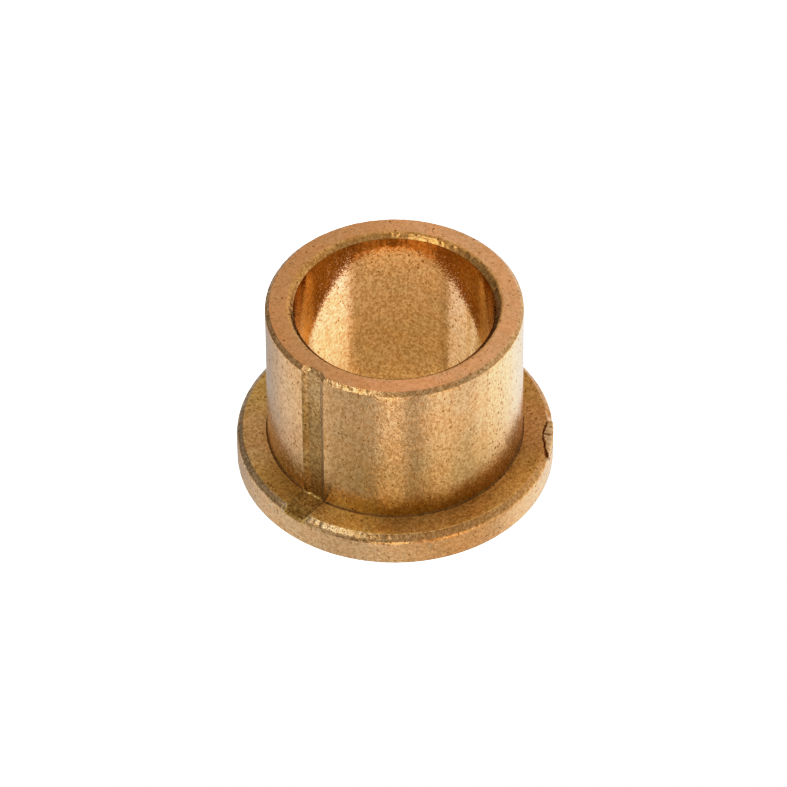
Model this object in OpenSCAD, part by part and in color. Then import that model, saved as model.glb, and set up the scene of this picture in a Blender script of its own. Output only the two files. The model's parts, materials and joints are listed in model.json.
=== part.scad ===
// Flanged plain bearing bush, pressed and sintered in one piece from bronze powder.
// It stands on its flange with the bore axis on +Z and the origin on that axis at the
// flange's thrust face. The shallow groove down the sleeve faces -Y.
// Angles around the axis start at the groove and turn towards +X.

/* [Sleeve] */
// Diameter of the bore that the shaft runs in
bore_d = 14; // [8:0.1:14.6]
// Outside diameter of the sleeve, which is pressed into a housing
sleeve_d = 18; // [17.4:0.1:20]
// Overall length, from the flange's thrust face to the sleeve's free end
length = 14.4; // [8:0.1:40]
// Edge break outside the sleeve's free end
sleeve_chamfer = 0.3; // [0.1:0.05:0.5]
// Edge break at both mouths of the bore
bore_chamfer = 0.35; // [0.1:0.05:0.5]

/* [Flange] */
// Outside diameter of the flange
flange_d = 22.4; // [22:0.1:30]
// Thickness of the flange
flange_t = 2.6; // [2:0.1:6]
// Width of the bevel on the flange's shoulder side, measured along the radius
rim_bevel_w = 0.45; // [0.2:0.05:0.6]
// Height of the same bevel, measured along the axis
rim_bevel_h = 0.35; // [0.2:0.05:0.6]
// Edge break on the flange's thrust side
thrust_chamfer = 0.2; // [0.1:0.05:0.5]
// Small bevel that fills the corner between sleeve and flange
corner_bevel = 0.12; // [0.05:0.01:0.3]

/* [Groove] */
// Depth of the groove in the sleeve and of its run-out across the flange
groove_depth = 0.3; // [0.1:0.05:0.6]
// Width of the groove at its mouth
groove_mouth_w = 1.9; // [1:0.1:3]
// Width of the groove's flat floor in the sleeve
groove_floor_w = 0.95; // [0.4:0.05:1.4]
// Width of the run-out's flat floor across the flange
runout_floor_w = 1.3; // [0.4:0.05:1.6]

/* [Broken rim] */
// Angle from the groove to the gap between the two chips
crack_angle = 124.5; // [40:0.5:300]
// Depth of the break below the flange's shoulder face
break_depth = 0.7; // [0.4:0.05:1.2]
// Width of the crack between the two chips, as an angle
crack_gap = 0.65; // [0.2:0.05:0.8]
// Width of the crack behind the chips
crack_behind = 0.08; // [0.04:0.01:0.12]

/* [Hidden] */
$fn = 180;

bore_r = bore_d / 2;
sleeve_r = sleeve_d / 2;
flange_r = flange_d / 2;
groove_floor_r = sleeve_r - groove_depth;
mouth_edge_y = sqrt(sleeve_r ^ 2 - (groove_mouth_w / 2) ^ 2);
runout_z = flange_t - groove_depth;
break_z = flange_t - break_depth;
over = 1;

// Corners of the break, seen from above: angle from the crack, then the distance in
// from the rim. The long chip lies at negative angles and the short one at positive.
long_side = [[-10.5, 0], [-9, 0.27], [-7, 0.5], [-5.3, 0.5], [-2.7, 0.7], [0, 0.76]];
short_side = [[0, 0.76], [1.5, 0.74], [6, 0.5], [7.3, 0.27], [7.6, 0]];

function around(angle, radius) = radius * [sin(angle), -cos(angle)];
function rim_point(p, shrink = 0) = around(crack_angle + p[0], flange_r - max(p[1] - shrink, 0));
function outer_arc(from, to) = [
    for (i = [0:4])
        around(crack_angle + from + (to - from) * i / 4, flange_r + over)
];

// The solid of revolution: sleeve, flange, bore and every edge break.
module turned_blank() {
    rotate_extrude()
        polygon([
            [bore_r + bore_chamfer, 0],
            [flange_r - thrust_chamfer, 0],
            [flange_r, thrust_chamfer],
            [flange_r, flange_t - rim_bevel_h],
            [flange_r - rim_bevel_w, flange_t],
            [sleeve_r + corner_bevel, flange_t],
            [sleeve_r, flange_t + corner_bevel],
            [sleeve_r, length - sleeve_chamfer],
            [sleeve_r - sleeve_chamfer, length],
            [bore_r + bore_chamfer, length],
            [bore_r, length - bore_chamfer],
            [bore_r, bore_chamfer]
        ]);
}

// A trapezoid with its floor on y = 0, its mouth at y = -depth, and straight beyond.
module groove_section(floor_w, depth) {
    polygon([
        [-floor_w / 2, 0],
        [floor_w / 2, 0],
        [groove_mouth_w / 2, -depth],
        [groove_mouth_w / 2, -depth - over],
        [-groove_mouth_w / 2, -depth - over],
        [-groove_mouth_w / 2, -depth]
    ]);
}

// The straight groove, and the edge break that follows it at the sleeve's free end.
module sleeve_groove() {
    wall_depth = mouth_edge_y - groove_floor_r;
    translate([0, -groove_floor_r, runout_z])
        linear_extrude(length)
            groove_section(groove_floor_w, wall_depth);
    translate([0, -groove_floor_r, length - sleeve_chamfer])
        rotate([-45, 0, 0])
            linear_extrude(over)
                groove_section(groove_floor_w, wall_depth);
}

// The groove's run-out, straight across the flange's shoulder face to the rim.
module flange_runout() {
    translate([0, -mouth_edge_y, runout_z])
        rotate([-90, 0, 180])
            linear_extrude(flange_r)
                groove_section(runout_floor_w, groove_depth);
}

// The space that the two chips broke out of.
module rim_break() {
    translate([0, 0, break_z])
        linear_extrude(break_depth + over)
            polygon(concat(
                [for (p = long_side) rim_point(p)],
                [for (p = short_side) rim_point(p)],
                outer_arc(short_side[4][0], long_side[0][0])
            ));
}

// One chip: the part of the rim inside a jagged outline, without the rim's bevel.
module rim_chip(inner, from, to) {
    intersection() {
        translate([0, 0, break_z])
            linear_extrude(break_depth)
                polygon(concat([for (p = inner) rim_point(p, crack_behind)], outer_arc(to, from)));
        cylinder(r = flange_r, h = length);
    }
}

module flanged_bushing() {
    color([0.72, 0.53, 0.31])
        difference() {
            turned_blank();
            sleeve_groove();
            flange_runout();
            rim_break();
        }
}

module rim_chip_long() {
    near_crack = -crack_gap / 2;
    color([0.80, 0.66, 0.42])
        rim_chip(
            [[-10, 0.1], [-9, 0.27], [-7, 0.5], [-5.3, 0.5], [-2.7, 0.7], [near_crack, 0.76]],
            -10, near_crack
        );
}

module rim_chip_short() {
    near_crack = crack_gap / 2;
    color([0.83, 0.68, 0.47])
        rim_chip(
            [[near_crack, 0.76], [1.5, 0.74], [6, 0.5], [7, 0.27]],
            near_crack, 7
        );
}

flanged_bushing();
rim_chip_long();
rim_chip_short();
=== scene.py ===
"""A flanged bush of sintered bronze, standing on its flange on a white light table.

The bush is one closed skin: a rounded profile swept round the axis, then dented where
the groove, the broken rim and the knocks of handling are. Lengths are in millimetres
until a mesh is made. Angles round the axis start at the groove and turn towards +X.
"""

import json
import math

import bpy
import numpy as np
from mathutils import Matrix, Vector


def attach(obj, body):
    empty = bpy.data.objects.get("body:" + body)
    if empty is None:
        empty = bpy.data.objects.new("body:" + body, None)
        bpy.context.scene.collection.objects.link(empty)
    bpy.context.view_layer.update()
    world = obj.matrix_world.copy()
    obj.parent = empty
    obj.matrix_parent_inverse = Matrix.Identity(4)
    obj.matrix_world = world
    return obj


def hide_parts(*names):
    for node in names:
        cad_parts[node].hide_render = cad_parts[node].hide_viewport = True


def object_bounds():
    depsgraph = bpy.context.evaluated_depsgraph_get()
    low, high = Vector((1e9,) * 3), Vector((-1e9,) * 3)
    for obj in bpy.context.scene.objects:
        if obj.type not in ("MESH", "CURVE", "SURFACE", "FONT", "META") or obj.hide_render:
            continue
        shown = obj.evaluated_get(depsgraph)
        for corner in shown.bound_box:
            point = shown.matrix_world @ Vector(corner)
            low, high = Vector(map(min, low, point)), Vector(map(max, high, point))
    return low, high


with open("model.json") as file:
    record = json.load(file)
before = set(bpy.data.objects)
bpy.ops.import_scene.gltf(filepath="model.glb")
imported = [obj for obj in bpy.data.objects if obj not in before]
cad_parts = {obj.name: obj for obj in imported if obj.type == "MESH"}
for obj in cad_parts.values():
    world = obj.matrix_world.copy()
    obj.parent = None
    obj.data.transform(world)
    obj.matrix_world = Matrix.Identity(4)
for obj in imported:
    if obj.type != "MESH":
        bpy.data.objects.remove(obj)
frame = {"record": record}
cad_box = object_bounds()

MM = 0.001

# ---------------------------------------------------------------- driving sizes

mounts = {m["name"]: m for m in frame["record"]["mounts"]}
BORE_R = mounts["bore"]["dims"]["r_mm"]
SLEEVE_R = mounts["sleeve_od"]["dims"]["r_mm"]
FLANGE_R = cad_box[1].x / MM
FLANGE_T = mounts["shoulder_face"]["pos_m"][2] / MM
LENGTH = cad_box[1].z / MM
END_MIDDLE_R = (BORE_R + SLEEVE_R) / 2

SLEEVE_CHAMFER = 0.3
BORE_CHAMFER = 0.35
THRUST_CHAMFER = 0.2
RIM_BEVEL_W = 0.45
RIM_BEVEL_H = 0.35
CORNER_BEVEL = 0.10

# The groove, which lies within GROOVE_SIDE degrees of angle 0. It fades out on the end
# face at GROOVE_END_R. At its foot it turns into a run-out across the flange, over a
# height of GROOVE_FOOT. Its edge towards +X is a band of its own, GROOVE_EDGE wide, which
# is painted darker for the shade along the groove's wall.
GROOVE_DEPTH = 0.3
GROOVE_MOUTH = 1.9
GROOVE_FLOOR = 0.95
GROOVE_EDGE = 0.12
GROOVE_SIDE = 30
GROOVE_END_R = 7.9
GROOVE_FOOT = 1.2
RUNOUT_FLOOR = 1.3
RUNOUT_MOUTH = 2.0

# The break in the rim: angle, and distance in from the rim, corner by corner. The gap
# between the chips, in degrees, is a little wider than the CAD's so that it shows.
CRACK_ANGLE = 124.5
BREAK_DEPTH = 0.7
BREAK_LINE = [
    (-10.5, 0), (-9, 0.27), (-7, 0.5), (-5.3, 0.5), (-2.7, 0.7),
    (0, 0.76), (1.5, 0.74), (6, 0.5), (7.3, 0.27), (7.6, 0),
]
CRACK_GAP = 0.85
CRACK_BEHIND = 0.07

# ---------------------------------------------------------------- small helpers


def ramp(x, low, high):
    """0 at low, 1 at high, smooth between and flat beyond. high may be below low."""
    t = np.clip((x - low) / (high - low), 0, 1)
    return t * t * (3 - 2 * t)


def hump(x, width):
    """1 at 0, falling away on both sides."""
    return np.exp(-((x / width) ** 2))


def around(angle, radius, z):
    """Points at an angle in degrees and a radius."""
    a = np.radians(angle)
    return np.stack([radius * np.sin(a), -radius * np.cos(a), z], -1)


def turn_from(start, angle):
    """The turn from one angle to another, between -180 and 180 degrees."""
    return (angle - start + 180) % 360 - 180


def direction(azimuth, elevation):
    """The unit vector from the object towards a place round it."""
    a, e = math.radians(azimuth), math.radians(elevation)
    return Vector((math.sin(a) * math.cos(e), -math.cos(a) * math.cos(e), math.sin(e)))


def waves(angle, count, seed):
    """A smooth random outline round the circle, between about -1 and 1."""
    r = np.random.default_rng(seed)
    total = np.zeros_like(angle)
    for k in range(1, count + 1):
        phase, size = r.uniform(0, 2 * math.pi), r.normal()
        total += size * np.sin(k * np.radians(angle) + phase) / math.sqrt(count)
    return total


# ---------------------------------------------------------------- the profile

# The zones of the skin, which have a material each. The groove's three lie over others.
ZONES = [
    "thrust", "rim_side", "rim_bevel", "shoulder", "corner", "sleeve", "sleeve_edge",
    "end_face", "bore_edge", "bore", "groove", "groove_edge", "runout",
]
# Each corner: radius, height, rounding, then the length of the rows and the zone of
# the stretch that follows it. The profile runs round the section and closes.
PROFILE = [
    (BORE_R + BORE_CHAMFER, 0, 0.05, 0.8, "thrust"),
    (FLANGE_R - THRUST_CHAMFER, 0, 0.05, 0.08, "rim_side"),
    (FLANGE_R, THRUST_CHAMFER, 0.06, 0.22, "rim_side"),
    (FLANGE_R, FLANGE_T - RIM_BEVEL_H, 0.45, 0.07, "rim_bevel"),
    (FLANGE_R - RIM_BEVEL_W, FLANGE_T, 0.06, 0.1, "shoulder"),
    (SLEEVE_R + CORNER_BEVEL, FLANGE_T, 0.03, 0.1, "corner"),
    (SLEEVE_R, FLANGE_T + CORNER_BEVEL, 0.03, 0.45, "sleeve"),
    (SLEEVE_R, LENGTH - SLEEVE_CHAMFER, 0.06, 0.07, "sleeve_edge"),
    (SLEEVE_R - SLEEVE_CHAMFER, LENGTH, 0.09, 0.14, "end_face"),
    (BORE_R + BORE_CHAMFER, LENGTH, 0.35, 0.08, "bore_edge"),
    (BORE_R, LENGTH - BORE_CHAMFER, 0.06, 0.9, "bore"),
    (BORE_R, BORE_CHAMFER, 0.06, 0.1, "bore_edge"),
]
ARC_STEPS = 4

# Degrees from one column to the next, and how far the close ones reach to either side
# of the groove's middle and of the break's.
FINE_STEP = 0.2
WIDE_STEP = 0.66
GROOVE_REACH = 7.5
BREAK_MIDDLE = CRACK_ANGLE - 1.5
BREAK_REACH = 9.6


def rounded_corner(before, here, after, rounding):
    """The points of the arc that rounds a corner."""
    d0 = (here - before) / np.linalg.norm(here - before)
    d1 = (after - here) / np.linalg.norm(after - here)
    turn = math.acos(np.clip(d0 @ d1, -1, 1))
    back = rounding * math.tan(turn / 2)
    start, stop = here - d0 * back, here + d1 * back
    arc = []
    for k in range(ARC_STEPS + 1):
        t = k / ARC_STEPS
        arc.append((1 - t) ** 2 * start + 2 * t * (1 - t) * here + t * t * stop)
    return arc


def profile_rows():
    """Radius, height and zone of every row of points, with each corner rounded."""
    corners = [np.array(c[:2], float) for c in PROFILE]
    count = len(corners)
    arcs = []
    for i in range(count):
        after = corners[(i + 1) % count]
        arcs.append(rounded_corner(corners[i - 1], corners[i], after, PROFILE[i][2]))
    rows, zones = [], []
    for i in range(count):
        row_length, zone = PROFILE[i][3:]
        start, stop = arcs[i][-1], arcs[(i + 1) % count][0]
        steps = max(1, round(np.linalg.norm(stop - start) / row_length))
        rows += arcs[i] + [start + (stop - start) * k / steps for k in range(1, steps)]
        zones += [ZONES.index(zone)] * (ARC_STEPS + steps)
    return np.array(rows), np.array(zones)


def column_angles():
    """Columns close together at the groove and at the break, and wider elsewhere."""
    angles, a = [], 0.0
    while a < 360 - FINE_STEP / 2:
        angles.append(a)
        at_groove = min(a, 360 - a) < GROOVE_REACH
        at_break = abs(a - BREAK_MIDDLE) < BREAK_REACH
        a += FINE_STEP if at_groove or at_break else WIDE_STEP
    return np.array(angles)


# ---------------------------------------------------------------- dents and knocks

# The grit takes its heights from a table of this size, and these multipliers scatter its
# cells over the table.
GRIT_TABLE = 4096
GRIT_SCATTER = (73856093, 19349663, 83492791)


def grit(points, cell, seed):
    """Smooth random heights between -1 and 1 at points in mm, with bumps of one size."""
    table = np.random.default_rng(seed).uniform(-1, 1, GRIT_TABLE)
    base = np.floor(points / cell).astype(int)
    t = points / cell - base
    t = t * t * (3 - 2 * t)
    total = np.zeros(points.shape[:-1])
    for corner in np.ndindex(2, 2, 2):
        share = np.ones(points.shape[:-1])
        key = np.zeros(points.shape[:-1], int)
        for axis, step in enumerate(corner):
            share = share * (t[..., axis] if step else 1 - t[..., axis])
            key = key ^ (base[..., axis] + step) * GRIT_SCATTER[axis]
        total += share * table[key % GRIT_TABLE]
    return total


# The angle where the bore's upper edge break is widest, and how much wider it is there.
MOUTH_WIDEST = 62
MOUTH_LEAN = 0.10


def bore_mouth(angle, r, z):
    """The edge break at the bore's upper mouth, which is wider on one side."""
    lean = MOUTH_LEAN * np.cos(np.radians(angle - MOUTH_WIDEST)) + 0.02
    up = ramp(z, LENGTH - BORE_CHAMFER, LENGTH)
    r = r + up * hump(r - BORE_R - BORE_CHAMFER, 0.4) * lean
    down = np.clip((LENGTH - z) / BORE_CHAMFER, 0, 1)
    sunk = down * ramp(z, LENGTH - 1.8, LENGTH - BORE_CHAMFER)
    return r, z - sunk * (lean + 0.04) * (r < BORE_R + 0.6)


# How many waves the flutes are made of, and how deep they are.
FLUTE_WAVES = 60
FLUTE_DEPTH = 0.004


def flutes(angle, r, z):
    """Faint lines down the sleeve, as the sizing die leaves them."""
    on_sleeve = ramp(r, SLEEVE_R - 0.1, SLEEVE_R) * (r < SLEEVE_R + 0.05) * (z > FLANGE_T)
    return r - on_sleeve * FLUTE_DEPTH * (1 + waves(angle, FLUTE_WAVES, 5)), z


def groove_share(x, floor, mouth):
    """1 on the groove's floor, 0 outside its mouth, x across it from its middle."""
    t = np.clip((mouth / 2 - np.abs(x)) / ((mouth - floor) / 2), 0, 1)
    return t - 0.05 * np.sin(2 * math.pi * t)


def cut_groove(angle, r, z):
    """The groove down the sleeve, the edge break that follows it, and its run-out."""
    front = np.abs(turn_from(0, angle)) < GROOVE_SIDE
    x = r * np.sin(np.radians(angle))
    above = z > FLANGE_T - 0.001
    past_corner = SLEEVE_R + 0.14

    share = np.where(front, groove_share(x, GROOVE_FLOOR, GROOVE_MOUTH), 0)
    on_end = ramp(r, GROOVE_END_R, SLEEVE_R - SLEEVE_CHAMFER)
    wave = 1 + 0.04 * np.sin(z * 1.9) + 0.03 * np.sin(z * 4.3 + 1)
    on_sleeve = above & (r < past_corner)
    pushed = np.where(on_sleeve, share * on_end * GROOVE_DEPTH * wave, 0)

    run = np.where(front, groove_share(x, RUNOUT_FLOOR, RUNOUT_MOUTH), 0)
    foot = 1 - ramp(z, FLANGE_T, FLANGE_T + GROOVE_FOOT)
    at_foot = above & (r > SLEEVE_R - 0.01)
    lowered = np.where(at_foot, z - GROOVE_DEPTH * run * foot, z)
    on_flange = np.minimum(z, FLANGE_T - GROOVE_DEPTH * run)
    return r - pushed, np.where(r > past_corner, on_flange, lowered)


def break_inset(angle):
    """How far in from the rim the break reaches at an angle, in mm."""
    corners = np.array(BREAK_LINE, float)
    from_crack = turn_from(CRACK_ANGLE, angle)
    return np.interp(from_crack, corners[:, 0], corners[:, 1], left=-1, right=-1)


def break_floor(angle, r):
    """The height of the break's uneven floor, which the chips lie on."""
    return FLANGE_T - BREAK_DEPTH + 0.05 * np.sin(angle * 1.7) * np.sin(r * 9)


def cut_break(angle, r, z):
    """The space that the two chips broke out of. Its rows stay in order, close together."""
    inset = break_inset(angle)
    depth_in = r - (FLANGE_R - inset)
    inside = ramp(depth_in, -0.02, 0.03) * (inset > 0)
    squeezed = break_floor(angle, r) - (FLANGE_T - z) * 0.04
    return r, z + (np.minimum(squeezed, z) - z) * inside


# Radius and height of the edges that handling has knocked.
LIP = (SLEEVE_R - 0.15, LENGTH - 0.15)
RIM = (FLANGE_R - 0.22, FLANGE_T - 0.17)
BORE_LIP = (BORE_R + 0.2, LENGTH - 0.15)

# Each knock: angle, radius and height, its size, its depth, and the way it pushes in
# radius and height.
PLACED_KNOCKS = [
    ((60.4, *LIP), 0.14, 0.10, (-0.7, -0.7)),
    ((136, *RIM), 0.30, 0.10, (-0.9, -0.4)),
    ((134, FLANGE_R, 2.2), 0.35, 0.12, (-1, -0.1)),
]
# The edges that have small random knocks, how many, and the way they push.
RANDOM_KNOCKS = [
    (LIP, 26, (-0.7, -0.7)),
    (RIM, 30, (-0.7, -0.7)),
    (BORE_LIP, 16, (0.7, -0.7)),
]


def knock(angle, r, z, at, size, depth, towards):
    """Pushes the skin in at one place."""
    place = around(angle, r, z)
    centre = around(np.array(at[0]), at[1], at[2])
    d = np.linalg.norm(place - centre, axis=-1) / size
    push = depth * np.exp(-(d ** 3))
    return r + push * towards[0], z + push * towards[1]


def knocked_edges(angle, r, z):
    """Knocks along the edges, some placed and the rest at random from one seed."""
    for at, size, depth, towards in PLACED_KNOCKS:
        r, z = knock(angle, r, z, at, size, depth, towards)
    rng = np.random.default_rng(14)
    for (er, ez), count, towards in RANDOM_KNOCKS:
        for _ in range(count):
            at = (rng.uniform(0, 360), er + rng.normal(0, 0.1), ez + rng.normal(0, 0.05))
            size, depth = rng.uniform(0.08, 0.24), rng.uniform(0.01, 0.05)
            r, z = knock(angle, r, z, at, size, depth, towards)
    return r, z


# Depth of the fine wear, and the layers of grit in it: size, seed and share.
EDGE_GRIT = 0.009
GRIT_LAYERS = [(0.45, 20, 1), (0.25, 21, 1), (0.14, 22, 0.6)]


def worn_edges(angle, r, z):
    """Grainy wear along the lips and the rim, and least on the bore's front lip."""
    mid_face = ramp(np.abs(r - END_MIDDLE_R), 0.75, 0.4)
    near_lip = hump(z - LENGTH, 0.35) * (1 - 0.7 * mid_face)
    near_rim = hump(r - FLANGE_R + 0.25, 0.35) * ramp(z, 1.9, 2.2)
    place = around(angle, r, z)
    bumps = sum(share * grit(place, cell, seed) for cell, seed, share in GRIT_LAYERS)
    worn = np.maximum(1.3 + bumps, 0) * (EDGE_GRIT * np.maximum(near_lip, near_rim))
    behind = ramp(-np.cos(np.radians(angle - 22)), -0.1, 0.6)
    inner = r < END_MIDDLE_R
    worn = worn * np.where(inner, 0.2 + 1.6 * behind, 1)
    return r + worn * np.where(inner, 1, -1), z - worn


def skin(angle, r, z):
    """Everything that shapes the bush's skin, in order."""
    for shape in (bore_mouth, flutes, cut_groove, cut_break, knocked_edges, worn_edges):
        r, z = shape(angle, r, z)
    return r, z


# ---------------------------------------------------------------- meshes


def new_piece(name, points, faces, materials, indices=None):
    """A mesh object from points in mm, with smooth shading.

    indices gives the number of each face's material, where there are several.
    """
    mesh = bpy.data.meshes.new(name)
    mesh.from_pydata((np.asarray(points) * MM).tolist(), [], faces)
    for m in materials:
        mesh.materials.append(m)
    if indices is not None:
        mesh.polygons.foreach_set("material_index", indices)
    mesh.polygons.foreach_set("use_smooth", np.ones(len(mesh.polygons), bool))
    mesh.update()
    piece = bpy.data.objects.new(name, mesh)
    bpy.context.scene.collection.objects.link(piece)
    return piece


def zone_map(angle, r, zones):
    """The zone of each quad. The groove and its run-out lie over other zones."""
    x = r * np.sin(np.radians(angle))
    in_groove = (np.abs(x) < GROOVE_MOUTH / 2) & (np.abs(turn_from(0, angle)) < GROOVE_SIDE)
    zone = np.broadcast_to(zones[:, None], angle.shape)
    for inside, over in (("groove", ["sleeve"]), ("runout", ["shoulder", "corner", "rim_bevel"])):
        covered = np.isin(zone, [ZONES.index(n) for n in over]) & in_groove
        zone = np.where(covered, ZONES.index(inside), zone)
    # The groove's edge towards +X is the band painted darker for the shade along its wall.
    at_edge = (zone == ZONES.index("groove")) & (x > GROOVE_MOUTH / 2 - GROOVE_EDGE)
    return np.where(at_edge, ZONES.index("groove_edge"), zone)


def make_bushing(materials):
    """The bush's whole skin: the profile's rows by the columns, closed both ways."""
    rows, zones = profile_rows()
    angles = column_angles()
    n_rows, n_cols = len(rows), len(angles)
    angle = np.broadcast_to(angles[None], (n_rows, n_cols)).copy()
    r0 = np.repeat(rows[:, :1], n_cols, 1)
    z0 = np.repeat(rows[:, 1:], n_cols, 1)
    r, z = skin(angle, r0, z0)
    points = around(angle, r, z).reshape(-1, 3)
    j, i = np.meshgrid(np.arange(n_rows), np.arange(n_cols), indexing="ij")
    j1, i1 = (j + 1) % n_rows, (i + 1) % n_cols
    quads = np.stack([j * n_cols + i, j * n_cols + i1, j1 * n_cols + i1, j1 * n_cols + i], -1)
    faces = quads.reshape(-1, 4).tolist()
    return new_piece("bushing_skin", points, faces, materials, zone_map(angle, r0, zones).ravel())


# Steps of a chip's mesh along the rim, across it, and up.
CHIP_STEPS = (26, 12, 10)


def make_chip(name, corners, material, rise, seed):
    """A broken piece of rim: a block bent to the break's outline and roughened.

    corners are the outline's, as in BREAK_LINE. rise is how far the chip's middle stands
    above the flange.
    """
    line = np.array(corners, float)
    noise = np.random.default_rng(seed)
    n_along, n_in, n_up = CHIP_STEPS
    middle_angle = CRACK_ANGLE + (line[0, 0] + line[-1, 0]) / 2
    middle = around(np.array(middle_angle), FLANGE_R - 0.3, FLANGE_T - 0.35)
    numbers, points, faces = {}, [], []

    def shape(a, b, c):
        """The place of a point: steps along the rim, out towards it, and up.

        The top is crowned and falls away at the rim, the ends are bent, and the edges
        are pulled in. The bottom lies on the break's floor.
        """
        u, v, w = a / n_along, b / n_in, c / n_up
        cu, cv, cw = u * 2 - 1, v * 2 - 1, w * 2 - 1
        along = line[0, 0] + (line[-1, 0] - line[0, 0]) * u
        inset = np.interp(along, line[:, 0], line[:, 1])
        inset = inset - CRACK_BEHIND * min(1, inset / 0.5) * w
        outer = 0.02 + 0.02 * math.sin(along * 2.2 + seed)
        r = FLANGE_R - inset + (inset - outer) * v
        base = break_floor(CRACK_ANGLE + along, r)
        crown = rise * (1 - 0.9 * max(abs(cu) ** 4, abs(cv) ** 4))
        crown += 0.03 * math.sin(along * 2.6 + seed) * math.sin(v * 5 + seed)
        top = FLANGE_T + crown - 0.10 * max(cv, 0) ** 2
        bend = 0.1 * math.sin(w * 5 + seed) * abs(cu) ** 3
        p = around(np.array(CRACK_ANGLE + along + bend), r, base + (top - base) * w)
        edge = sorted((abs(cu), abs(cv), abs(cw)))[1]
        pull = 0.02 * max(edge - 0.75, 0) / 0.25
        inward = (middle - p) / np.linalg.norm(middle - p)
        jitter = noise.normal(0, 0.008, 3)
        return p + (inward * pull + jitter) * (c > 0)

    def number(key):
        if key not in numbers:
            numbers[key] = len(points)
            points.append(shape(*key))
        return numbers[key]

    def quad(*keys):
        faces.append([number(key) for key in keys])

    for a, b in np.ndindex(n_along, n_in):
        quad((a, b, 0), (a, b + 1, 0), (a + 1, b + 1, 0), (a + 1, b, 0))
        quad((a, b, n_up), (a + 1, b, n_up), (a + 1, b + 1, n_up), (a, b + 1, n_up))
    for a, c in np.ndindex(n_along, n_up):
        quad((a, 0, c), (a + 1, 0, c), (a + 1, 0, c + 1), (a, 0, c + 1))
        quad((a, n_in, c), (a, n_in, c + 1), (a + 1, n_in, c + 1), (a + 1, n_in, c))
    end = n_along
    for b, c in np.ndindex(n_in, n_up):
        quad((0, b, c), (0, b, c + 1), (0, b + 1, c + 1), (0, b + 1, c))
        quad((end, b, c), (end, b + 1, c), (end, b + 1, c + 1), (end, b, c + 1))
    return new_piece(name, points, faces, [material])


# ---------------------------------------------------------------- materials


class Shader:
    """Nodes added to a material or a world by short calls that return sockets."""

    def __init__(self, owner):
        owner.use_nodes = True
        self.tree = owner.node_tree

    def node(self, kind, inputs=(), **settings):
        """A node of a kind. inputs maps a socket's name or number to a value or socket."""
        made = self.tree.nodes.new("ShaderNode" + kind)
        for key, value in settings.items():
            setattr(made, key, value)
        for key, value in dict(inputs).items():
            self.feed(made.inputs[key], value)
        return made

    def feed(self, socket, value):
        if isinstance(value, bpy.types.NodeSocket):
            self.tree.links.new(value, socket)
        else:
            socket.default_value = value

    def math(self, operation, a, b=0.0):
        return self.node("Math", {0: a, 1: b}, operation=operation).outputs[0]

    def vector(self, operation, a, b=(0, 0, 0), out="Vector"):
        return self.node("VectorMath", {0: a, 1: b}, operation=operation).outputs[out]

    def degrees(self, operation, value):
        return self.math("MULTIPLY", self.math(operation, value), 180 / math.pi)

    def spread(self, value, low, high, to_low=0.0, to_high=1.0):
        """The value's range low to high taken to another range, with soft ends."""
        inputs = {"Value": value, 1: low, 2: high, 3: to_low, 4: to_high}
        return self.node("MapRange", inputs, interpolation_type="SMOOTHSTEP").outputs[0]

    def blend(self, factor, a, b, mode="MIX"):
        """Two colours mixed. A colour is a socket or a tuple of three or four numbers."""
        made = self.node("Mix", data_type="RGBA", blend_type=mode)
        self.feed(made.inputs["Factor"], factor)
        for socket, value in ((made.inputs[6], a), (made.inputs[7], b)):
            self.feed(socket, (*value, 1)[:4] if isinstance(value, tuple) else value)
        return made.outputs[2]

    def tinted(self, a, b):
        return self.blend(1.0, a, b, "MULTIPLY")

    def height(self, where):
        return self.node("SeparateXYZ", {0: where}).outputs[2]

    def place(self, scale=(1, 1, 1)):
        """The point on the object in mm, stretched by a scale."""
        where = self.node("TexCoord").outputs["Object"]
        return self.vector("MULTIPLY", where, [s / MM for s in scale])

    def noise(self, where, scale, detail=2.0, roughness=0.5):
        inputs = {"Vector": where, "Scale": scale, "Detail": detail, "Roughness": roughness}
        return self.node("TexNoise", inputs).outputs["Fac"]

    def pits(self, where, scale, share, size):
        """1 in round pits and 0 outside. share is how many cells have one."""
        cells = self.node("TexVoronoi", {"Vector": where, "Scale": scale})
        pick = self.node("SeparateColor", {0: cells.outputs["Color"]}).outputs[0]
        radius = self.spread(pick, 1 - share, 1.0, 0.0, size)
        inside = self.math("SUBTRACT", radius, cells.outputs["Distance"])
        core = self.spread(inside, -0.12, 0.08)
        return self.math("MULTIPLY", core, self.spread(radius, 0.0, 0.10))

    def across(self, where, heading, start, stop):
        """0 to 1 from one distance to another along a heading round the axis."""
        ahead = self.vector("DOT_PRODUCT", where, tuple(direction(heading, 0)), "Value")
        return self.spread(ahead, start, stop)

    def beyond(self, where, spot, within=0.0):
        """1 outside a spot, less within it: angle, radius, height, inner and outer radius."""
        angle, radius, height, inner, outer = spot
        centre = tuple(around(angle, radius, height))
        away = self.vector("DISTANCE", where, centre, "Value")
        return self.spread(away, inner, outer, within, 1.0)


# How much more the grain darkens green and blue than red: oxide in the pores is brown.
# The painted spots of light and shade are browned the same way.
BROWNING = (1.0, 1.3, 1.95)
# The same for the painted shade towards the foot of a zone.
DIMMING = (1.0, 1.08, 1.9)
# The speckle's layers of noise: scale, detail and share.
SPECKLE = [(1.5, 2.0, 0.08), (4.0, 2.0, 0.52), (7.0, 1.0, 0.40)]
# The layers of pores: scale, size of the pits and strength.
PORES = [(3.5, 0.27, 1.0), (6.5, 0.32, 0.75)]
# What the pores' places are shaken by, so that they don't look like cells.
SHAKE = 0.22


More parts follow.
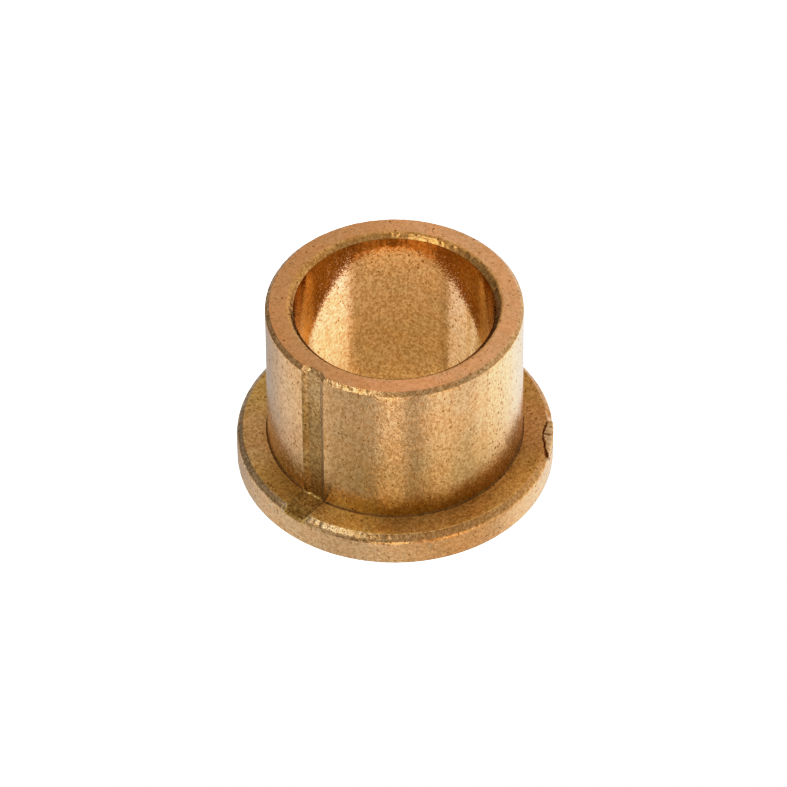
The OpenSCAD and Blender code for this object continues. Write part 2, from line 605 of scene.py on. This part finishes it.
def painted_shade_at_foot(s, where, painted_foot_shading, side):
    """The painted shade towards the foot of a zone, and only on one side if that is given."""
    rise = s.height(where)
    dim = 1.0
    for foot in painted_foot_shading:
        dim = s.math("MULTIPLY", s.spread(rise, *foot), dim)
    if side:
        dim = s.math("MULTIPLY", s.math("SUBTRACT", dim, 1.0), s.across(where, *side))
        dim = s.math("ADD", dim, 1.0)
    return dim


def bronze(
    name, tint, rough, grain=0.24, pores=0.65, pit=0.42, bump=1.0, draw=1.0, drawn=0.0,
    patch=None, edge=None, painted_light_gradients=(), painted_light_spots=(), painted_shading_spots=(), painted_foot_shading=(), painted_shading_side=None,
):
    """Sintered bronze of one colour, in linear RGB, with a speckled and pitted skin.

    grain is how far the speckle lightens and darkens it, pores how many pits there are
    and pit how dark they are. draw below 1 pulls the grain out along the axis, as the
    sizing die does, and drawn spreads the reflections the same way. patch is a second
    colour and its share. edge is the metal's tint when it is seen edge on.

    The last five arguments are painted light and shade, in this order. The gradients are
    each a heading, two distances along it, and the tints before and beyond them. The
    spots of tint are each an angle, radius and height, the spot's inner and outer radius,
    and a tint. The spots of shade are each a spot and a shade, darker or lighter. The
    shades towards the foot are each two heights and the shades at them, and the last
    argument, a heading and two distances along it, limits them to one side.
    """
    material = bpy.data.materials.new(name)
    s = Shader(material)
    bsdf = s.tree.nodes["Principled BSDF"]
    where = s.place()
    along = s.place((1, 1, draw))

    level = 0.0
    for scale, detail, share in SPECKLE:
        level = s.math("ADD", s.math("MULTIPLY", s.noise(along, scale, detail), share), level)
    wobble = s.node("TexNoise", {"Vector": where, "Scale": 6.0}).outputs["Color"]
    shaken = s.vector("ADD", along, s.vector("MULTIPLY", wobble, (SHAKE, SHAKE, SHAKE)))
    pore = 0.0
    for scale, size, strength in PORES:
        layer = s.math("MULTIPLY", s.pits(shaken, scale, pores, size), strength)
        pore = s.math("MAXIMUM", layer, pore)

    red, green, blue = tint
    warm = s.spread(s.noise(where, 0.5, 3.0, 0.6), 0.36, 0.64)
    cooler = (red * 0.975, green * 1.015, blue * 1.06)
    warmer = (red * 1.025, green * 0.985, blue * 0.94)
    base = s.blend(warm, cooler, warmer)
    if patch:
        other, share = patch
        blot = s.noise(where, 0.8, 3.0, 0.65)
        base = s.blend(s.spread(blot, 0.62 - 0.25 * share, 0.80 - 0.25 * share), base, other)
    # Painted light: gradients and spots of tint laid over the metal's colour.
    for *band, before, after in painted_light_gradients:
        base = s.tinted(base, s.blend(s.across(where, *band), before, after))
    for *spot, colour in painted_light_spots:
        base = s.tinted(base, s.blend(s.beyond(where, spot), colour, (1.0, 1.0, 1.0)))

    grain_and_painted_shade = s.spread(level, 0.38, 0.62, 1 - grain, 1 + grain)
    # Painted light and shade in spots, darker or lighter, browned like the grain.
    for *spot, shade in painted_shading_spots:
        grain_and_painted_shade = s.math("MULTIPLY", grain_and_painted_shade, s.beyond(where, spot, shade))
    grain_and_painted_shade = s.math("MULTIPLY", grain_and_painted_shade, s.spread(pore, 0.0, 1.0, 1.0, 1 - pit))
    bands = {i: s.math("POWER", grain_and_painted_shade, power) for i, power in enumerate(BROWNING)}
    # Painted shade towards the foot.
    if painted_foot_shading:
        dim = painted_shade_at_foot(s, where, painted_foot_shading, painted_shading_side)
        for i, power in enumerate(DIMMING):
            bands[i] = s.math("MULTIPLY", bands[i], s.math("POWER", dim, power))
    s.feed(bsdf.inputs["Base Color"], s.tinted(base, s.node("CombineColor", bands).outputs[0]))

    bsdf.inputs["Metallic"].default_value = 1.0
    if edge:
        bsdf.inputs["Specular Tint"].default_value = (*edge, 1)
    wear = s.math("ADD", s.math("MULTIPLY", pore, 0.8), level)
    s.feed(bsdf.inputs["Roughness"], s.spread(wear, 0.4, 1.4, rough, rough + 0.35))
    if drawn:
        bsdf.inputs["Anisotropic"].default_value = drawn
        bsdf.inputs["Anisotropic Rotation"].default_value = 0.25
        ring = s.node("Tangent", direction_type="RADIAL", axis="Z")
        s.feed(bsdf.inputs["Tangent"], ring.outputs[0])
    relief = s.math("SUBTRACT", level, s.math("MULTIPLY", pore, 0.35))
    raised = s.node("Bump", {"Height": relief, "Distance": 0.03 * MM, "Strength": bump})
    s.feed(bsdf.inputs["Normal"], raised.outputs["Normal"])
    return material


COPPER = (0.57, 0.258, 0.098)
GOLD = (0.56, 0.31, 0.125)
OCHRE = (0.41, 0.205, 0.052)
TAN = (0.50, 0.28, 0.115)
OLIVE = (0.38, 0.29, 0.16)
SHADOW = (0.44, 0.213, 0.053)
# The heading along which painted warm light turns the flange from yellower to redder.
WARM_LIGHT_HEADING = 129.5


def bushing_materials():
    """One material for each zone of the skin, in the order of ZONES."""
    made = {
        "thrust": bronze("bronze_thrust", COPPER, 0.35),
        # Painted light and shade on the rim's side: redder towards the warm light, one painted
        # darker spot and one painted lighter spot.
        "rim_side": bronze(
            "bronze_rim_side", TAN, 0.36, grain=0.18, patch=(OLIVE, 0.12),
            painted_light_gradients=[(WARM_LIGHT_HEADING, -3, 4, (1.0, 1.05, 1.12), (1.0, 0.93, 0.85))],
            painted_shading_spots=[(68, 11.2, 1.3, 1.2, 4.4, 0.80), (20, 11.2, 1.3, 1.2, 4.4, 1.13)]),
        # Painted light and shade on the rim's bevel: redder towards the warm light, and a painted
        # shade that narrows its highlight.
        "rim_bevel": bronze(
            "bronze_rim_bevel", (0.48, 0.262, 0.104), 0.26, bump=1.3, patch=(OLIVE, 0.2),
            painted_light_gradients=[(WARM_LIGHT_HEADING, -2, 3, (1.0, 1.13, 1.35), (1.0, 0.86, 0.66))],
            painted_shading_spots=[(31, 11, 2.4, 1.2, 3.0, 0.72)]),
        # Painted light and shade on the flange's top, over a tint darkened for shade: lighter
        # towards one side, redder towards the warm light, two bluer spots of painted light, a
        # painted shadow beside the groove's foot, and a lighter and a darker spot.
        "shoulder": bronze(
            "bronze_shoulder", SHADOW, 0.45, pores=0.4,
            painted_light_gradients=[
                (44, 1, 9.5, (0.97, 0.97, 0.97), (1.7, 1.92, 2.3)),
                (WARM_LIGHT_HEADING, -2, 4, (1.0, 1.12, 1.15), (0.98, 0.91, 0.75))],
            painted_light_spots=[
                (129, 10.2, FLANGE_T, 1.0, 4.5, (1.03, 1.0, 1.35)),
                (-45, 10.2, FLANGE_T, 1.0, 4.5, (1.05, 1.02, 1.35))],
            painted_shading_spots=[
                (-13, 10.2, FLANGE_T, 0.9, 3.2, 0.68), (54, 10.2, FLANGE_T, 0.8, 3.0, 1.2),
                (112, 10.2, FLANGE_T, 1.0, 3.2, 0.84)]),
        # Painted shade: the crease between sleeve and flange is dark brown for the shade that
        # falls in it.
        "corner": bronze("bronze_corner", (0.16, 0.065, 0.015), 0.6),
        # Painted reflection and shade at the sleeve's foot: spots of tint where it mirrors the
        # flange, a darker spot beside the groove, and painted shade towards the foot on one side.
        "sleeve": bronze(
            "bronze_sleeve", GOLD, 0.20, grain=0.2, bump=0.7, draw=0.7, drawn=0.8,
            painted_light_spots=[
                (-36, 9, 2.9, 1.0, 3.6, (1.25, 1.37, 1.22)),
                (-14, 9, 3.1, 0.8, 2.4, (1.1, 1.28, 1.25)),
                (21, 9, 2.9, 0.9, 2.6, (0.95, 1.15, 1.7)),
                (64, 9, 2.9, 1.0, 3.4, (1.0, 1.08, 1.2)),
                (-13, 9, 6.4, 1.2, 3.4, (0.82, 0.81, 0.8))],
            painted_foot_shading=[(3, 13, 0.68, 1.04), (3.0, 5.0, 0.62, 1.0)], painted_shading_side=(60, 3, 8.2)),
        "sleeve_edge": bronze("bronze_sleeve_edge", (0.53, 0.285, 0.11), 0.26, bump=1.6),
        # Painted light and shade on the end face: darker to one side and lighter to the other,
        # with two lighter spots.
        "end_face": bronze(
            "bronze_end_face", COPPER, 0.35, grain=0.12, pores=0.25,
            painted_light_gradients=[(125, -9, 9, (0.86, 0.83, 0.75), (1.12, 1.16, 1.25))],
            painted_light_spots=[
                (42, 8, LENGTH, 1.2, 4.5, (1.12, 1.05, 1.05)),
                (206, 8, LENGTH, 1.0, 4.0, (1.08, 1.08, 1.12))]),
        "bore_edge": bronze("bronze_bore_edge", (0.50, 0.235, 0.065), 0.26, bump=0.6),
        # Painted reflection and shade in the bore: two darker and two lighter spots high up where
        # its mirrored light falls, and painted shade towards its foot.
        "bore": bronze(
            "bronze_bore", OCHRE, 0.07, pores=0.75, bump=0.3, draw=0.8,
            edge=(0.97, 0.87, 0.62),
            painted_shading_spots=[
                (286, 7, 11.6, 1.0, 3.4, 0.66), (152, 7, 10.2, 0.6, 2.6, 0.72),
                (264, 7, 12.4, 0.8, 2.8, 1.32), (168, 7, 12.4, 0.8, 2.6, 1.22)],
            painted_foot_shading=[(4, 11, 0.80, 1.0)]),
        # Painted shade in the groove: its tint is darker than the sleeve's for the shade in the
        # recess, and darker still further down, on a rougher, more speckled floor.
        "groove": bronze(
            "bronze_groove", (0.42, 0.24, 0.09), 0.42, grain=0.34, pores=0.8, draw=0.9,
            painted_foot_shading=[(9.5, 13, 0.72, 1.0)]),
        # Painted shade: a dark band along the groove's +X wall, where shade falls.
        "groove_edge": bronze("bronze_groove_edge", (0.26, 0.14, 0.05), 0.45, draw=0.6),
        # Painted shade: the run-out is darker where it meets the rim.
        "runout": bronze(
            "bronze_runout", (0.48, 0.29, 0.082), 0.45, grain=0.36,
            painted_shading_spots=[(0, FLANGE_R, 2.2, 0.4, 1.1, 0.6)]),
    }
    return [made[z] for z in ZONES]


# ---------------------------------------------------------------- the object

bushing = make_bushing(bushing_materials())
broken = bronze("bronze_broken", (0.58, 0.36, 0.165), 0.5, grain=0.22, pores=0.2)
half_gap = CRACK_GAP / 2
long_line = [(-10.35, 0.05), *BREAK_LINE[1:5], (-half_gap, 0.76)]
short_line = [(half_gap, 0.76), *BREAK_LINE[6:8], (7, 0.27)]
chip_long = make_chip("rim_chip_long_rough", long_line, broken, 0.05, 3)
chip_short = make_chip("rim_chip_short_rough", short_line, broken, 0.06, 8)

for piece, node, slot in (
    (bushing, "flanged_bushing", "sintered_bronze"),
    (chip_long, "rim_chip_long", "broken_bronze"),
    (chip_short, "rim_chip_short", "broken_bronze"),
):
    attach(piece, "root")
    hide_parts(node)

# ---------------------------------------------------------------- floor, light, camera

CAMERA_AZIMUTH = 39.5
CAMERA_ELEVATION = 44.2
CAMERA_ROLL = -0.34
CAMERA_DISTANCE = 425.2
# What the camera aims at, right of and above the middle of the bush, and how wide its
# view is there.
AIM_RIGHT = -0.08825
AIM_UP = -1.04224
VIEW_WIDTH = 55.1236
SENSOR_WIDTH = 36

# How the film answers to light: even in the shadows, and ever less near white.
FILM_WHITE = 3.0
FILM = [(0.0, 0.0), (0.55, 0.55), (0.8, 0.76), (1.1, 0.89), (1.5, 0.96), (2.2, 1.0)]


def make_camera():
    data = bpy.data.cameras.new("camera")
    camera = bpy.data.objects.new("camera", data)
    bpy.context.scene.collection.objects.link(camera)
    back = direction(CAMERA_AZIMUTH, CAMERA_ELEVATION)
    facing = (-back).to_track_quat("-Z", "Y").to_matrix()
    turned = facing @ Matrix.Rotation(math.radians(CAMERA_ROLL), 3, "Z")
    right, up, _ = turned.transposed()
    aim = Vector((0, 0, LENGTH / 2)) + right * AIM_RIGHT + up * AIM_UP
    place = (aim + back * CAMERA_DISTANCE) * MM
    camera.matrix_world = Matrix.Translation(place) @ turned.to_4x4()
    data.sensor_width = SENSOR_WIDTH
    data.lens = SENSOR_WIDTH * CAMERA_DISTANCE / VIEW_WIDTH
    data.clip_start = 0.01
    data.clip_end = 5
    bpy.context.scene.camera = camera


# The studio round the bush, painted on the world from the first panel to the last. Each
# panel: azimuth from the camera towards the right, elevation, half width, half height
# and softness of its edges, all in degrees, and its brightness or its colour.
STUDIO_ABOVE = 0.75
STUDIO_BELOW = 0.80
HORIZON_SOFTNESS = 0.09
PANELS = {
    "back_wall": (180, 45, 80, 35, 20, 1.0),
    "ground_back_left": (-165, -50, 25, 45, 8, 0.6),
    "ground_right": (105, -50, 78, 45, 4, 1.25),
    "ground_far_right": (116, -50, 32, 45, 14, 2.0),
    "ground_left": (-93, -50, 28, 45, 5, 1.25),
    "gap_left": (-25, -18, 12, 14, 3, 0.12),
    "front_glow": (-2.2, -18, 9.5, 14, 2, (5.7, 4.75, 4.2)),
    "gap_right": (17, -18, 9, 14, 2, 0.2),
    "side_glow": (38, -18, 11.5, 14, 3, (3.25, 2.55, 2.15)),
    "wall_left": (-100, 25, 38, 24, 8, 0.36),
    "wall_front_right": (30, 45, 35, 20, 12, 0.55),
    "wall_right": (120, 10, 35, 20, 12, 1.1),
    "wall_far_left": (-130, 8, 22, 12, 6, 0.2),
    "key": (-38, 49, 16, 11, 5, 4.1),
}

# The light table as the bore's mirror sees it, through the bush's open lower end: a
# glowing well, painted in the same way round the middle of that end. It starts a hair
# below the bush.
WELL_R = 9.0
WELL_TOP = -0.03
WELL_DEPTH = 16.0
WELL_PLAIN = 1.3
WELL_TINT = (1.0, 0.92, 1.12)
WELL_PANELS = {
    "mouth": (0, -10, 76, 12, 8, 1.45),
    "mouth_lip": (0, -4, 45, 10, 4, 2.1),
    "bright_side": (114, -28, 39, 27, 12, (3.6, 3.8, 5.6)),
    "bright_far": (-119, -28, 28, 27, 5, (2.1, 2.45, 3.8)),
    "dark_stripe": (-131, -28, 4, 27, 3, 1.6),
    "dark_line": (-83, -28, 7, 27, 4, 1.05),
    "floor_back": (180, -78, 118, 22, 3, 4.0),
    "floor_middle": (180, -78, 55, 22, 8, 6.0),
    "floor_front": (0, -79, 58, 21, 2, 1.6),
}
FLOOR_HALF = 1200


def paint(strength):
    """A light's colour, from one strength or from its red, green and blue."""
    return (*strength, 1) if isinstance(strength, tuple) else (strength,) * 3 + (1,)


def painted_light(s, ray, light, panels):
    """The light that comes along a ray, with the panels laid over the plain."""
    ray = s.vector("NORMALIZE", ray)
    heading = s.vector("NORMALIZE", s.vector("MULTIPLY", ray, (1, 1, 0)))
    rise = s.degrees("ARCSINE", s.height(ray))
    for azimuth, elevation, wide, high, soft, strength in panels.values():
        middle = tuple(direction(CAMERA_AZIMUTH + azimuth, 0))
        turn = s.degrees("ARCCOSINE", s.vector("DOT_PRODUCT", heading, middle, "Value"))
        across = s.spread(turn, wide - soft, wide + soft, 1.0, 0.0)
        climb = s.math("ABSOLUTE", s.math("SUBTRACT", rise, elevation))
        along = s.spread(climb, high - soft, high + soft, 1.0, 0.0)
        light = s.blend(s.math("MULTIPLY", across, along), light, paint(strength))
    return light


def make_world():
    """The painted studio, which reflections see. The camera sees plain white instead."""
    world = bpy.data.worlds.new("studio")
    bpy.context.scene.world = world
    s = Shader(world)
    ray = s.node("TexCoord").outputs["Generated"]
    above = s.spread(s.height(ray), -HORIZON_SOFTNESS, HORIZON_SOFTNESS)
    plain = s.blend(above, paint(STUDIO_BELOW), paint(STUDIO_ABOVE))
    light = painted_light(s, ray, plain, PANELS)
    seen = s.node("LightPath").outputs["Is Camera Ray"]
    background = s.tree.nodes["Background"]
    s.feed(background.inputs["Color"], s.blend(seen, light, paint(FILM_WHITE)))
    background.inputs["Strength"].default_value = 1.0


def glow_material(name):
    """An emission material and its shader helper, with the emission node."""
    material = bpy.data.materials.new(name)
    s = Shader(material)
    s.tree.nodes.clear()
    out = s.node("OutputMaterial")
    glow = s.node("Emission")
    s.feed(out.inputs["Surface"], glow.outputs[0])
    return material, s, glow


def stage_piece(name, points, faces, material, camera_only):
    """A piece of the set that only the camera sees, or only reflections do."""
    mesh = bpy.data.meshes.new(name)
    mesh.from_pydata((np.asarray(points) * MM).tolist(), [], faces)
    mesh.materials.append(material)
    piece = bpy.data.objects.new(name, mesh)
    bpy.context.scene.collection.objects.link(piece)
    piece.visible_camera = camera_only
    piece.visible_glossy = not camera_only
    piece.visible_diffuse = False
    piece.visible_transmission = False
    piece.visible_shadow = False


def make_floor():
    """A white floor that only the camera sees, as if the bush stood on clear glass."""
    material, _, glow = glow_material("pale_floor")
    glow.inputs["Strength"].default_value = FILM_WHITE
    turns = ((-1, -1), (1, -1), (1, 1), (-1, 1))
    corners = [(x * FLOOR_HALF, y * FLOOR_HALF, 0) for x, y in turns]
    stage_piece("floor", corners, [(0, 1, 2, 3)], material, camera_only=True)


def make_well():
    """The glowing well under the bush's open lower end."""
    material, s, glow = glow_material("light_well")
    where = s.node("TexCoord").outputs["Object"]
    light = painted_light(s, where, paint(WELL_PLAIN), WELL_PANELS)
    s.feed(glow.inputs["Color"], s.tinted(light, WELL_TINT))
    turns = np.arange(0, 360, 3)
    count = len(turns)
    rims = [around(turns, WELL_R, np.full(count, z)) for z in (WELL_TOP, -WELL_DEPTH)]
    walls = [(i, (i + 1) % count, count + (i + 1) % count, count + i) for i in range(count)]
    bottom = tuple(range(count, 2 * count))
    stage_piece("light_well", np.concatenate(rims), [*walls, bottom], material, camera_only=False)


def set_film():
    """Lays the film's curve over all three colours."""
    view = bpy.context.scene.view_settings
    view.view_transform = "Standard"
    view.use_curve_mapping = True
    mapping = view.curve_mapping
    mapping.clip_max_x = FILM_WHITE
    combined = mapping.curves[3]
    combined.points[0].location = FILM[0]
    combined.points[1].location = (FILM_WHITE, 1.0)
    for point in FILM[1:]:
        combined.points.new(*point)
    mapping.update()


make_camera()
make_floor()
make_well()
make_world()
set_film()
